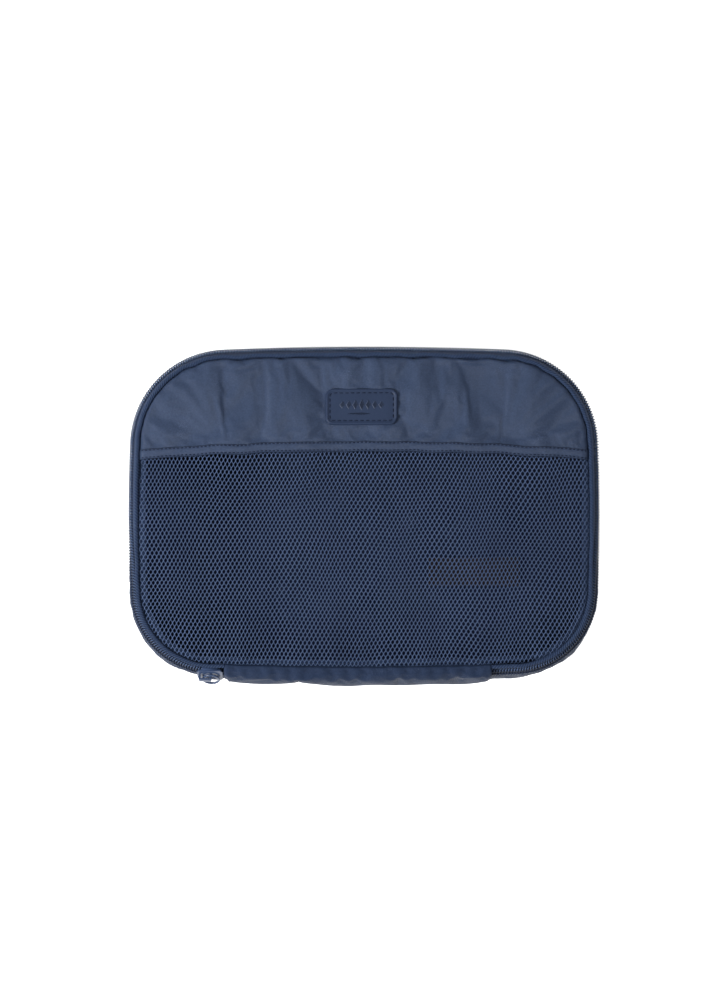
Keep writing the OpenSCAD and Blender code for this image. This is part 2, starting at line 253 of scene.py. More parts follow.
def edge_inset(s):
    """Inset of the sewn edge of the lid's panels, drawn into small scallops by its stitches."""
    point, _ = outline(s)
    return seam_inset + MM * rounds(s, 3, 0.011, 0.030) * (0.07 + 0.16 * ease(point[..., 1], 0.06, 0.085))


def lid_height(x, y):
    """Height of the lid's cloth: dipped at its seam, gently crowned, never quite even."""
    s, inset = nearest(x, y)
    d = np.maximum(inset - edge_inset(s), 0)
    dip = seam_dip * np.exp(-d / seam_fall)
    crown = lid_crown * (1 - np.exp(-((d / crown_run) ** 1.4)))
    slack = slack_rise * swells(x, y, 11, 0.03, 0.10) * ease(d, 0, 0.02)
    folds = fold_rise * swells(x, 0.3 * y, 13, 0.014, 0.032)
    folds *= ease(y, hem_line(x), hem_line(x) + 12 * MM) * ease(d, 0, 5 * MM)
    pleats = pleat_rise * rounds(s, 12, 0.012, 0.030) * np.exp(-d / pleat_run) * ease(d, 0, 1.5 * MM)
    return lid_top - dip + crown + slack + folds + pleats


def flowing(points, per=4):
    """A smooth line through points; points is an array whose first axis runs along the line."""
    p = np.asarray(points, float)
    padded = np.concatenate([2 * p[:1] - p[1:2], p, 2 * p[-1:] - p[-2:-1]])
    out = []
    for i in range(len(p) - 1):
        a, b, c, d = padded[i : i + 4]
        for t in np.arange(per) / per:
            out.append(0.5 * (2 * b + (c - a) * t + (2 * a - 5 * b + 4 * c - d) * t * t
                              + (3 * b - a - 3 * c + d) * t**3))
    return np.array(out + [p[-1]])


# ---- Meshes ------------------------------------------------------------------------------

def new_mesh(name, vertices, faces, uv=None, crease=50):
    """A smooth-shaded piece; uv holds one pair in metres for each vertex."""
    mesh = bpy.data.meshes.new(name)
    mesh.from_pydata(np.asarray(vertices, float).tolist(), [], [list(map(int, f)) for f in faces])
    if uv is not None:
        layer = mesh.uv_layers.new(name="cloth")
        corners = np.zeros(len(mesh.loops), np.int32)
        mesh.loops.foreach_get("vertex_index", corners)
        layer.data.foreach_set("uv", np.asarray(uv, np.float32)[corners].ravel())
    mesh.shade_smooth()
    mesh.set_sharp_from_angle(angle=math.radians(crease))
    piece = bpy.data.objects.new(name, mesh)
    bpy.context.scene.collection.objects.link(piece)
    return piece


def mark_painted_light(piece, values):
    """Stores a value from 0 to 1 on each vertex, which the yarn and nylon materials read as painted light: 1
    painted lit, 0 in painted shade.
    """
    ridge = piece.data.attributes.new("ridge", "FLOAT", "POINT")
    ridge.data.foreach_set("value", np.asarray(values, np.float32))


def grid_faces(rows, columns, wrap_rows=False, wrap_columns=False):
    """Four-sided faces over a grid of vertices, closed on itself where it wraps."""
    r, c = np.meshgrid(np.arange(rows if wrap_rows else rows - 1),
                       np.arange(columns if wrap_columns else columns - 1), indexing="ij")
    r2, c2 = (r + 1) % rows, (c + 1) % columns
    quads = [r * columns + c, r2 * columns + c, r2 * columns + c2, r * columns + c2]
    return np.stack(quads, -1).reshape(-1, 4)


def finish_faces(piece, merge=0.0, closed=True):
    """Joins doubled vertices, drops faces with no area, and turns a closed piece's faces outwards."""
    b = bmesh.new()
    b.from_mesh(piece.data)
    if merge:
        bmesh.ops.remove_doubles(b, verts=b.verts, dist=merge)
    bmesh.ops.dissolve_degenerate(b, edges=b.edges, dist=1e-6)
    if closed:
        bmesh.ops.recalc_face_normals(b, faces=b.faces)
    b.to_mesh(piece.data)
    b.free()
    return piece


def apply_modifiers(piece):
    """Makes the piece's mesh what its modifiers show."""
    graph = bpy.context.evaluated_depsgraph_get()
    mesh = bpy.data.meshes.new_from_object(piece.evaluated_get(graph))
    piece.modifiers.clear()
    piece.data = mesh
    return piece


def thicken(piece, thickness, offset=0.0):
    """Gives an open sheet its second face and its edges; offset -1 grows it downwards."""
    solid = piece.modifiers.new("thick", "SOLIDIFY")
    solid.thickness = thickness
    solid.offset = offset
    return apply_modifiers(piece)


def place(s, section):
    """Section points (inset, height), one row for each station s, as points in space."""
    point, normal = outline(s)
    flat = point[:, None, :] - section[..., :1] * normal[:, None, :]
    return np.concatenate([flat, section[..., 1:]], -1)


def points_at(s, *pairs):
    """Section points given as (inset, height), each a number or one value for each station."""
    return [np.stack(np.broadcast_arrays(n, z, s)[:2], -1) for n, z in pairs]


def ribbon(name, s, line, thickness, closed=False):
    """A strip of cloth swept along the outline: line is (point, station, 2), of inset and height."""
    line = np.moveaxis(flowing(line), 0, 1)
    step = np.gradient(line, axis=1)
    side = np.stack([-step[..., 1], step[..., 0]], -1)
    side /= np.linalg.norm(side, axis=-1, keepdims=True)
    across = np.cumsum(np.linalg.norm(np.diff(line, axis=1, prepend=line[:, :1]), axis=-1), 1)
    half = side * thickness / 2
    section = np.concatenate([line + half, (line - half)[:, ::-1]], 1)
    points = place(s, section)
    rows, columns = points.shape[:2]
    uv = np.stack([np.repeat(s[:, None], columns, 1),
                   np.concatenate([across, across[:, ::-1]], 1)], -1)
    faces = grid_faces(rows, columns, closed, True).tolist()
    if not closed:
        faces += [list(range(columns)), list(range(rows * columns - 1, (rows - 1) * columns - 1, -1))]
    return finish_faces(new_mesh(name, points.reshape(-1, 3), faces, uv.reshape(-1, 2)))


def wall(name, s, line, free, swell_cap):
    """A gusset: an open sheet swept along the outline, left to settle between its sewn edges.

    free is the first and last row of line that may move; the ends of the sweep stay too.
    """
    points = np.array([place(s, row[:, None, :])[:, 0] for row in line])
    rows, columns = points.shape[:2]
    height = np.cumsum(np.linalg.norm(np.diff(points, axis=0, prepend=points[:1]), axis=2), 0)
    uv = np.stack([np.broadcast_to(s, height.shape), height], -1)
    piece = new_mesh(name, points.reshape(-1, 3), grid_faces(rows, columns), uv.reshape(-1, 2))
    pinned = np.ones((rows, columns), bool)
    pinned[free[0] : free[1] + 1, 2:-2] = False
    settle(piece, pinned.ravel(), grow=0.025, pressure=0.3, frames=20, cap=swell_cap)
    return finish_faces(thicken(piece, cloth_t, 0))


def stations(first, last, step):
    """Even distances from first to last, about one step apart."""
    return np.linspace(first, last, max(2, round((last - first) / step) + 1))


def tubes(paths, radius, sides=6, outward=None):
    """Vertices, faces and uv of round threads along paths; radius may be one value for each point."""
    vertices, faces, uv, base = [], [], [], 0
    turn = np.arange(sides) * 2 * math.pi / sides
    for k, path in enumerate(paths):
        path = np.asarray(path, float)
        tangent = np.gradient(path, axis=0)
        tangent /= np.linalg.norm(tangent, axis=1, keepdims=True)
        up = np.broadcast_to([0.0, 0.0, 1.0], path.shape) if outward is None else outward[k]
        n = up - np.sum(up * tangent, 1, keepdims=True) * tangent
        n /= np.maximum(np.linalg.norm(n, axis=1, keepdims=True), 1e-12)
        m = np.cross(tangent, n)
        r = np.broadcast_to(np.asarray(radius, float), (len(path),))[:, None, None]
        ring = path[:, None] + r * (np.cos(turn)[:, None] * n[:, None] + np.sin(turn)[:, None] * m[:, None])
        vertices.append(ring.reshape(-1, 3))
        run = np.cumsum(np.linalg.norm(np.diff(path, axis=0, prepend=path[:1]), axis=1))
        uv.append(np.stack([np.repeat(run, sides), np.tile(turn * np.mean(r), len(path))], -1))
        faces += (grid_faces(len(path), sides, False, True) + base).tolist()
        faces += [[base + j for j in range(sides)][::-1],
                  [base + (len(path) - 1) * sides + j for j in range(sides)]]
        base += len(path) * sides
    return np.concatenate(vertices), faces, np.concatenate(uv)


def thread_piece(name, paths, radius, **options):
    """One piece made of round threads along paths."""
    vertices, faces, uv = tubes(paths, radius, **options)
    return new_mesh(name, vertices, faces, uv, crease=80)


# ---- Materials ---------------------------------------------------------------------------

def node(tree, kind, inputs=None, **settings):
    """A shader node with its settings, its inputs linked or set."""
    made = tree.nodes.new(kind)
    for key, value in settings.items():
        setattr(made, key, value)
    for key, value in (inputs or {}).items():
        if isinstance(value, bpy.types.NodeSocket):
            tree.links.new(value, made.inputs[key])
        else:
            made.inputs[key].default_value = value
    return made


def sums(tree, operation, *values):
    """The output of one Math node."""
    return node(tree, "ShaderNodeMath", dict(enumerate(values)), operation=operation).outputs[0]


def mix_in(tree, factor, under, over):
    """One colour mixed into another by a factor."""
    return node(tree, "ShaderNodeMix", {"Factor": factor, 6: under, 7: over}, data_type="RGBA").outputs[2]


def noise(tree, scale, detail, roughness=0.5, vector=None):
    """Random noise from 0 to 1, laid out in the piece's own metres unless it has a vector."""
    if vector is None:
        vector = node(tree, "ShaderNodeTexCoord").outputs["Object"]
    return node(tree, "ShaderNodeTexNoise", {
        "Vector": vector, "Scale": scale, "Detail": detail, "Roughness": roughness}).outputs["Fac"]


def raise_by(tree, shader, height, strength, depth):
    """Lets a height raise the material's surface."""
    raised = node(tree, "ShaderNodeBump", {"Height": height, "Strength": strength, "Distance": depth})
    tree.links.new(raised.outputs[0], shader["Normal"])


def effect(name, inputs, outputs):
    """An empty shader node group with named inputs and outputs: its tree, inputs and output node."""
    tree = bpy.data.node_groups.new(name, "ShaderNodeTree")
    for label, kind, value in inputs:
        socket = tree.interface.new_socket(label, in_out="INPUT", socket_type="NodeSocket" + kind)
        socket.default_value = value
    for label, kind in outputs:
        tree.interface.new_socket(label, in_out="OUTPUT", socket_type="NodeSocket" + kind)
    return tree, tree.nodes.new("NodeGroupInput").outputs, tree.nodes.new("NodeGroupOutput").inputs


def weave_effect():
    """Crossing threads: Height and Thread, from 0 between the threads to 1 on top of them."""
    tree, given, out = effect("weave", [
        ("Pitch", "Float", 0.0004), ("Slant", "Float", 0.0), ("Cross", "Float", 1.0)],
        [("Height", "Float"), ("Thread", "Float")])
    uv = node(tree, "ShaderNodeUVMap", uv_map="cloth").outputs[0]
    flat = node(tree, "ShaderNodeSeparateXYZ", {0: uv}).outputs
    turn = sums(tree, "DIVIDE", 2 * math.pi, given["Pitch"])
    warp = sums(tree, "SINE", sums(tree, "MULTIPLY", turn, sums(
        tree, "ADD", flat[0], sums(tree, "MULTIPLY", flat[1], given["Slant"]))))
    weft = sums(tree, "SINE", sums(tree, "MULTIPLY", turn, sums(
        tree, "SUBTRACT", flat[1], sums(tree, "MULTIPLY", flat[0], given["Slant"]))))
    under = sums(tree, "MULTIPLY_ADD", sums(tree, "ADD", weft, 1.0), given["Cross"], -1.0)
    crossing = sums(tree, "MAXIMUM", warp, under)
    tree.links.new(crossing, out["Height"])
    tree.links.new(sums(tree, "MULTIPLY_ADD", crossing, 0.5, 0.5), out["Thread"])
    return tree


def drift_effect():
    """Uneven dye and handling: the colour drifts lighter and darker over the surface."""
    tree, given, out = effect("drift", [
        ("Color", "Color", (1, 1, 1, 1)), ("Size", "Float", 0.03), ("Amount", "Float", 0.2)],
        [("Color", "Color"), ("Value", "Float")])
    cloud = noise(tree, sums(tree, "DIVIDE", 1.0, given["Size"]), 4.0, roughness=0.6)
    value = sums(tree, "MULTIPLY_ADD", sums(tree, "SUBTRACT", cloud, 0.5),
                 sums(tree, "MULTIPLY", given["Amount"], 2.0), 1.0)
    tinted = node(tree, "ShaderNodeVectorMath", {0: given["Color"], "Scale": value}, operation="SCALE")
    tree.links.new(tinted.outputs[0], out["Color"])
    tree.links.new(cloud, out["Value"])
    return tree


def spread(tree, given, out, mask, over):
    """Ends an effect that lays a second colour over Color by a mask times Amount."""
    mask = sums(tree, "MULTIPLY", mask, given["Amount"])
    tree.links.new(mix_in(tree, mask, given["Color"], given[over]), out["Color"])
    tree.links.new(mask, out["Mask"])
    return tree


def lint_effect():
    """A few pale fibres and specks of dust caught on the surface."""
    tree, given, out = effect("lint", [
        ("Color", "Color", (1, 1, 1, 1)), ("Lint", "Color", (0.35, 0.4, 0.5, 1)),
        ("Amount", "Float", 0.1)], [("Color", "Color"), ("Mask", "Float")])
    specks, patches = noise(tree, 2400.0, 1.0), noise(tree, 60.0, 2.0)
    mask = node(tree, "ShaderNodeMapRange", {
        "Value": sums(tree, "MULTIPLY", specks, patches), "From Min": 0.36, "From Max": 0.46}).outputs[0]
    return spread(tree, given, out, mask, "Lint")


def wear_effect():
    """Rubbed edges: Mask is 1 where the surface is sharpest, broken up by a fine grain."""
    tree, given, out = effect("wear", [
        ("Color", "Color", (1, 1, 1, 1)), ("Rubbed", "Color", (1, 1, 1, 1)),
        ("Amount", "Float", 0.5)], [("Color", "Color"), ("Mask", "Float")])
    sharp = node(tree, "ShaderNodeNewGeometry").outputs["Pointiness"]
    edge = node(tree, "ShaderNodeMapRange", {
        "Value": sums(tree, "MULTIPLY_ADD", noise(tree, 1500.0, 3.0), 0.06, sharp),
        "From Min": 0.60, "From Max": 0.72}).outputs[0]
    return spread(tree, given, out, edge, "Rubbed")


def grain_effect():
    """Fine random grain, for moulded faces, yarn hairs and enamel: Height from 0 to 1."""
    tree, given, out = effect("grain", [
        ("Size", "Float", 0.0005), ("Stretch", "Float", 1.0)], [("Height", "Float")])
    place_in = node(tree, "ShaderNodeTexCoord").outputs["Object"]
    drawn = node(tree, "ShaderNodeCombineXYZ", {0: 1.0, 1: given["Stretch"], 2: 1.0}).outputs[0]
    vector = node(tree, "ShaderNodeVectorMath", {0: place_in, 1: drawn}, operation="MULTIPLY")
    fine = noise(tree, sums(tree, "DIVIDE", 1.0, given["Size"]), 3.0, vector=vector.outputs[0])
    tree.links.new(fine, out["Height"])
    return tree


weave = weave_effect()
drift = drift_effect()
lint = lint_effect()
wear = wear_effect()
grain = grain_effect()


def use(tree, made, inputs):
    """Places an effect in a material."""
    return node(tree, "ShaderNodeGroup", inputs, node_tree=made).outputs


def material(name, **constants):
    """An empty material with a Principled shader, constants set on its own sockets."""
    made = bpy.data.materials.new(name)
    made.use_nodes = True
    tree = made.node_tree
    shader = tree.nodes["Principled BSDF"]
    for key, value in constants.items():
        shader.inputs[key.replace("_", " ")].default_value = value
    return made, tree, shader.inputs


def rgb(r, g, b):
    """An opaque colour."""
    return (r, g, b, 1.0)


navy_light = rgb(0.075, 0.105, 0.185)
# Deep navy: painted shade in the gaps between threads, on the yarn's flanks and the coils' heads, and the
# dark of the yarn's fine grain.
navy_grain_and_shade = rgb(0.008, 0.013, 0.030)


def cloth_material(name, color, pitch, slant, roughness, depth=0.00003, shade=0.25, gloss=0.05, cross=1.0):
    """Coated nylon or tape: dyed threads that drift in tone, with a few specks of lint.

    shade is how much painted shade darkens the gaps between threads; cross is 0 for slanted ribs alone.
    """
    mottle = 0.6
    made, tree, shader = material(name, Roughness=roughness, Specular_IOR_Level=gloss)
    threads = use(tree, weave, {"Pitch": pitch, "Slant": slant, "Cross": cross})
    dyed = use(tree, drift, {"Color": color, "Size": 0.045, "Amount": 0.16})
    # Painted shade: the gaps between threads mixed towards deep navy.
    between = mix_in(tree, sums(tree, "MULTIPLY_ADD", threads["Thread"], shade, 1 - shade), navy_grain_and_shade,
                     dyed["Color"])
    fine = use(tree, grain, {"Size": 0.0009, "Stretch": 1.0})
    mottled = node(tree, "ShaderNodeVectorMath", {
        0: between, "Scale": sums(tree, "MULTIPLY_ADD", fine["Height"], mottle, 1 - mottle / 2)},
        operation="SCALE").outputs[0]
    dusty = use(tree, lint, {"Color": mottled, "Lint": navy_light, "Amount": 0.3})
    tree.links.new(dusty["Color"], shader["Base Color"])
    tree.links.new(sums(tree, "MULTIPLY_ADD", dyed["Value"], 0.16, roughness - 0.08), shader["Roughness"])
    raise_by(tree, shader, threads["Height"], 1.0, depth)
    return made


def yarn_material(name, color, hair=0.00035, ridge=False):
    """Spun or knitted yarn: fine hairs, tone that drifts, and with ridge, painted shade on its flanks and
    painted light on its crown.
    """
    made, tree, shader = material(name, Roughness=0.6, Specular_IOR_Level=0.08)
    hairs = use(tree, grain, {"Size": hair, "Stretch": 0.25})
    dyed = use(tree, drift, {"Color": color, "Size": 0.03, "Amount": 0.22})
    shaded = mix_in(tree, sums(tree, "MULTIPLY_ADD", hairs["Height"], 0.6, 0.4), navy_grain_and_shade, dyed["Color"])
    if ridge:
        # Painted light: the crown painted lit, the flanks mixed into painted shade.
        crown = node(tree, "ShaderNodeAttribute", attribute_name="ridge").outputs["Fac"]
        shaded = mix_in(tree, sums(tree, "POWER", crown, 1.3), navy_grain_and_shade, shaded)
    dusty = use(tree, lint, {"Color": shaded, "Lint": navy_light, "Amount": 0.3})
    tree.links.new(dusty["Color"], shader["Base Color"])
    raise_by(tree, shader, hairs["Height"], 0.6, 0.0001)
    return made


def nylon_wire_material(name, color):
    """The coils' filament: smooth nylon with a painted highlight on its tails and painted shade where the
    coils meet, its sharpest edges rubbed paler.
    """
    made, tree, shader = material(name, Specular_IOR_Level=0.08)
    # ridge holds painted light: a painted highlight on the tails, painted shade on the rest of the turn.
    tail = node(tree, "ShaderNodeAttribute", attribute_name="ridge").outputs["Fac"]
    shaded = mix_in(tree, tail, navy_grain_and_shade, color)
    dyed = use(tree, drift, {"Color": shaded, "Size": 0.02, "Amount": 0.2})
    rubbed = use(tree, wear, {"Color": dyed["Color"], "Rubbed": navy_light, "Amount": 0.5})
    fine = use(tree, grain, {"Size": 0.0003, "Stretch": 1.0})
    tree.links.new(rubbed["Color"], shader["Base Color"])
    tree.links.new(sums(tree, "MULTIPLY_ADD", fine["Height"], 0.2, 0.28), shader["Roughness"])
    return made


def badge_material(name, color):
    """Smooth moulded patch with a faint leather-like grain."""
    made, tree, shader = material(name, Roughness=0.5, Specular_IOR_Level=0.14)
    dyed = use(tree, drift, {"Color": color, "Size": 0.012, "Amount": 0.12})
    rubbed = use(tree, wear, {"Color": dyed["Color"], "Rubbed": navy_light, "Amount": 0.6})
    pores = use(tree, grain, {"Size": 0.0006, "Stretch": 1.0})
    tree.links.new(rubbed["Color"], shader["Base Color"])
    tree.links.new(sums(tree, "MULTIPLY_ADD", pores["Height"], 0.25, 0.36), shader["Roughness"])
    raise_by(tree, shader, pores["Height"], 0.5, 0.00008)
    return made


def enamel_material(name):
    """Navy enamel over die-cast metal: glossy, with bright metal on its rubbed edges."""
    made, tree, shader = material(name, Specular_IOR_Level=0.4)
    dyed = use(tree, drift, {"Color": rgb(0.030, 0.048, 0.098), "Size": 0.006, "Amount": 0.15})
    rubbed = use(tree, wear, {"Color": dyed["Color"], "Rubbed": rgb(0.30, 0.33, 0.38), "Amount": 0.45})
    fine = use(tree, grain, {"Size": 0.0004, "Stretch": 1.0})
    tree.links.new(rubbed["Color"], shader["Base Color"])
    tree.links.new(sums(tree, "MULTIPLY", rubbed["Mask"], 0.9), shader["Metallic"])
    tree.links.new(sums(tree, "MULTIPLY_ADD", fine["Height"], 0.15, 0.15), shader["Roughness"])
    return made


def floor_material(name):
    """Matt studio paper."""
    made, tree, shader = material(name, Roughness=0.9, Specular_IOR_Level=0.1)
    mottle = use(tree, drift, {"Color": rgb(0.93, 0.93, 0.93), "Size": 0.2, "Amount": 0.01})
    tree.links.new(mottle["Color"], shader["Base Color"])
    shader["Emission Color"].default_value = rgb(1, 1, 1)
    shader["Emission Strength"].default_value = 0.70
    return made


satin = cloth_material("satin_nylon", rgb(0.029, 0.044, 0.084), 0.00028, 0.35, 0.40, gloss=0.12)
# The walls' satin: the lid's satin painted darker, as shade on the upright walls.
painted_shade_satin = cloth_material("satin_painted_shade", rgb(0.016, 0.026, 0.054), 0.00030, 0.0, 0.5, gloss=0.04)
# The navy base cloth, painted near-black: the shade inside the shut cube, seen through the net's holes.
base_cloth_painted_shade = cloth_material("base_nylon_painted_shade", rgb(0.005, 0.008, 0.019), 0.00030, 0.0, 0.6)
tape_cloth = cloth_material("zip_tape_weave", rgb(0.028, 0.045, 0.090), 0.0016, 1.0, 0.7,
                            depth=0.00012, shade=0.75, cross=0.0)
binding_cloth = cloth_material("seam_binding", rgb(0.018, 0.028, 0.058), 0.0006, 0.0, 0.65, shade=0.4)
net_yarn = yarn_material("net_yarn", rgb(0.108, 0.165, 0.310), ridge=True)
sewing_thread = yarn_material("sewing_thread", rgb(0.006, 0.010, 0.024), hair=0.0002)
coil_nylon = nylon_wire_material("coil_nylon", rgb(0.085, 0.125, 0.225))
badge_face = badge_material("badge_face", rgb(0.015, 0.025, 0.054))
emblem_face = badge_material("emblem_face", rgb(0.006, 0.011, 0.026))
enamel = enamel_material("navy_enamel")
label_weave = cloth_material("care_label_ribbon", rgb(0.013, 0.010, 0.010), 0.0003, 0.0, 0.5, shade=0.2)
paper = floor_material("studio_paper")


# ---- Putting pieces on their bodies ------------------------------------------------------

def dress(piece, body, finish, slot, *nodes):
    """Puts a piece on its body in its finish, and lets it stand for its CAD nodes."""
    piece.data.materials.clear()
    piece.data.materials.append(finish)
    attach(piece, body)
    if nodes:
        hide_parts(*nodes)
    return piece


def dress_hinge(piece, start, end, finish, slot, *nodes):
    """Like dress, for cloth sewn to the base, but it goes on no body: its place is baked into its mesh.
    start and end are not used.
    """
    piece.data.materials.clear()
    piece.data.materials.append(finish)
    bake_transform(piece)
    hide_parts(*nodes)
    return piece


# ---- Zip ---------------------------------------------------------------------------------

def past_corner(s):
    """0 along the hinge side and the front corners, rising to 1 along the sides and the back."""
    return ease(outline(s)[0][..., 1], lean_from, 0.0)


def lean(s):
    """How far the zip leans in: most at the front corners, least along the sides and back."""
    return np.radians(corner_lean + (side_lean - corner_lean) * past_corner(s))


def chain(s, u, m):
    """Section points of the zip: u towards the lid along the tape, m outwards from it."""
    a = lean(s)
    middle = coil_edge * np.sin(a) + (tape_t / 2 + coil_t) * np.cos(a)
    return np.stack([middle + u * np.sin(a) - m * np.cos(a),
                     chain_z + u * np.cos(a) + m * np.sin(a)], -1)


def lid_tape_line(s, inner=True):
    """The lid's tape: flat beside the coil, over the edge to the seam, and with inner, in under it."""
    edge = edge_inset(s)
    line = [chain(s, u, 0.0) for u in (coil_slot, 1.7 * MM, 3.0 * MM, flat_tape - side_cut * past_corner(s))]
    line += points_at(s, (edge - 1.9 * MM, lid_top - 1.15 * MM), (edge - 1.0 * MM, lid_top - 0.9 * MM),
                      (edge - 0.4 * MM, lid_top - 1.35 * MM))
    if inner:
        line += points_at(s, (edge - 0.35 * MM, lid_top - 2.2 * MM),
                          (edge + 0.7 * MM, lid_top - 2.75 * MM), (edge + 2.8 * MM, lid_top - 2.75 * MM))
    return np.array(line)


def gusset_tape_line(s):
    """The gusset's tape: flat beside the coil, then down behind the side wall's top."""
    fold = chain(s, -flat_tape, 0.0)
    line = [chain(s, -u, 0.0) for u in (coil_slot, 1.7 * MM, 3.0 * MM)] + [fold]
    return np.array(line + points_at(s, (fold[..., 0] + 0.2 * MM, fold[..., 1] - 1.5 * MM),
                                     (fold[..., 0] + 0.5 * MM, 48 * MM),
                                     (fold[..., 0] + 0.5 * MM, tape_foot)))


def boxy(wave):
    """A wave from -1 to 1 with flatter tops, so that a turn is squarer than a circle."""
    return np.sign(wave) * np.abs(wave) ** 0.7


def coil_path(first, last, side):
    """The flattened helix of one coil, its direction out from the core, and a painted highlight, 1 at its
    tails.

    side is 1 for the lid's coil and -1 for the gusset's. The tails are the turns' outer ends.
    """
    per_turn, bunch = 10, 1.1                  # points in a turn, and how far they bunch at its legs
    turns = int((last - first) / coil_pitch)
    k = np.arange(turns * per_turn + 1)
    phase = 2 * math.pi * k / per_turn
    run = k + bunch * np.sin(2 * phase)        # legs lie square to the zip, heads turn over
    s = first + (last - first) * run / len(k) + (coil_pitch / 2 if side < 0 else 0)
    head, tail = coil_wire + head_gap, coil_edge - coil_wire
    low, high = tape_t / 2 + coil_wire, tape_t / 2 + coil_t - coil_wire
    u = (head + tail) / 2 + (tail - head) / 2 * boxy(np.cos(phase))
    m = (low + high) / 2 + (high - low) / 2 * boxy(np.sin(phase))
    path = place(s, chain(s, side * u, m)[:, None, :])[:, 0]
    core = place(s, chain(s, np.full(len(s), side * (head + tail) / 2), (low + high) / 2)[:, None, :])[:, 0]
    # The painted highlight: full on the tails, fading into painted shade towards the heads.
    return path, path - core, ((1 + boxy(np.cos(phase))) / 2) ** 3


def coil(name, first, last, side):
    """One coil between two distances along the outline, its tails marked with a painted highlight."""
    path, outward, tail = coil_path(first, last, side)
    vertices, faces, uv = tubes([path], coil_wire, outward=[outward])
    piece = new_mesh(name, vertices, faces, uv, crease=80)
    # The gusset coil lies lower, so its tails get a weaker painted highlight.
    if side < 0:
        tail = gusset_painted_highlight * tail
    mark_painted_light(piece, np.repeat(tail, len(vertices) // len(path)))
    return piece


def zip_pieces():
    """Tapes and coils: the opening stretch, and a short shut stretch at each end of the hinge."""
    step = 1.5 * MM
    opening = stations(lid_start, lid_end, step)
    whole = stations(start_s, end_s, step)
    dress(ribbon("lid_tape", opening, lid_tape_line(opening), tape_t), "lid", tape_cloth,
          "zip_tape", "lid_zip_tape")
    dress(ribbon("gusset_tape", whole, gusset_tape_line(whole), tape_t), "base", tape_cloth,
          "zip_tape", "gusset_zip_tape")
    dress(coil("lid_teeth", lid_start, lid_end, 1), "lid", coil_nylon, "zip_coil", "lid_coil")
    dress(coil("gusset_teeth", start_s, end_s, -1), "base", coil_nylon, "zip_coil", "gusset_coil")
    for end, first, last in (("left", start_s, left_split), ("right", right_split, end_s)):
        shut = stations(first, last, step)
        dress_hinge(ribbon("shut_tape_" + end, shut, lid_tape_line(shut, inner=False), tape_t),
                    *tape_bend, tape_cloth, "zip_tape", "lid_tape_end_" + end)
        dress(coil("shut_teeth_" + end, first, last, 1), "base", coil_nylon, "zip_coil",
              "lid_coil_end_" + end)


# ---- Lid ---------------------------------------------------------------------------------

def hem_line(x):
    """Front edge of the hem: it drops a little towards the sides."""
    return hem_y - hem_sag * (np.asarray(x) / half_w) ** 2 + 0.25 * MM * rounds(x, 5, 0.02, 0.05)


def onto_seam(x, y, margin=None):
    """Brings points outside a sewn edge back onto it; tells which ones were inside."""
    s, inset = nearest(x, y)
    edge = edge_inset(s) if margin is None else np.full(s.shape, margin)
    inside = inset > edge
    point, normal = outline(s)
    on = point - edge[..., None] * normal
    return np.where(inside, x, on[..., 0]), np.where(inside, y, on[..., 1]), inside


def panel_mesh(name, x, y, height, margin=None):
    """A flat panel of a grid's points x, y, cut at the lid's sewn edge or at a margin."""
    cut_x, cut_y, inside = onto_seam(x, y, margin)
    faces = grid_faces(*x.shape)[:, ::-1]
    faces = faces[inside.ravel()[faces].any(1)]
    used, index = np.unique(faces, return_inverse=True)
    flat = np.stack([cut_x.ravel(), cut_y.ravel()], -1)[used]
    z = height(flat[:, 0], flat[:, 1])
    piece = new_mesh(name, np.column_stack([flat, z]), index.reshape(-1, 4), flat)
    return finish_faces(piece, merge=0.02 * MM, closed=False)


def coordinates(mesh):
    """The mesh's vertices as rows of x, y, z."""
    flat = np.zeros(len(mesh.vertices) * 3, np.float32)
    mesh.vertices.foreach_get("co", flat)
    return flat.reshape(-1, 3).astype(float)


def settle(piece, pinned, grow, pressure, frames, cap):
    """Lets an open cloth panel find its own puckers: pinned points stay, none moves past cap."""
    start = coordinates(piece.data)
    pins = piece.vertex_groups.new(name="pins")
    pins.add(np.flatnonzero(pinned).tolist(), 1.0, "REPLACE")
    cloth = piece.modifiers.new("cloth", "CLOTH")
    cloth.settings.quality = 6
    cloth.settings.mass = 0.08
    cloth.settings.air_damping = 3
    cloth.settings.tension_stiffness = 40
    cloth.settings.compression_stiffness = 30
    cloth.settings.shear_stiffness = 10
    cloth.settings.bending_stiffness = 0.3
    cloth.settings.vertex_group_mass = "pins"
    cloth.settings.shrink_min = -grow
    cloth.settings.use_pressure = True
    cloth.settings.uniform_pressure_force = pressure
    cloth.settings.effector_weights.gravity = 0
    cloth.collision_settings.use_collision = False
    cloth.point_cache.frame_start, cloth.point_cache.frame_end = 1, frames
    scene = bpy.context.scene
    for f in range(1, frames + 1):
        scene.frame_set(f)
    settled = piece.evaluated_get(bpy.context.evaluated_depsgraph_get()).to_mesh()
    move = coordinates(settled) - start
    size = np.linalg.norm(move, axis=1, keepdims=True)
    move *= cap * np.tanh(size / cap) / np.maximum(size, 1e-9)
    piece.modifiers.clear()
    piece.vertex_groups.clear()
    piece.data.vertices.foreach_set("co", (start + move).astype(np.float32).ravel())
    piece.data.update()
    scene.frame_set(1)
    return piece


def heights(piece, x, y):
    """Height of a finished panel's top at points x, y, for what is sewn onto it."""
    tree = BVHTree.FromObject(piece, bpy.context.evaluated_depsgraph_get())
    backup = lid_height(x, y).ravel()
    z = []
    for k, (a, b) in enumerate(zip(np.ravel(x), np.ravel(y))):
        hit = tree.ray_cast(Vector((a, b, 1.0)), Vector((0, 0, -1)))[0]
        z.append(backup[k] if hit is None else hit.z)
    return np.reshape(z, np.shape(x))


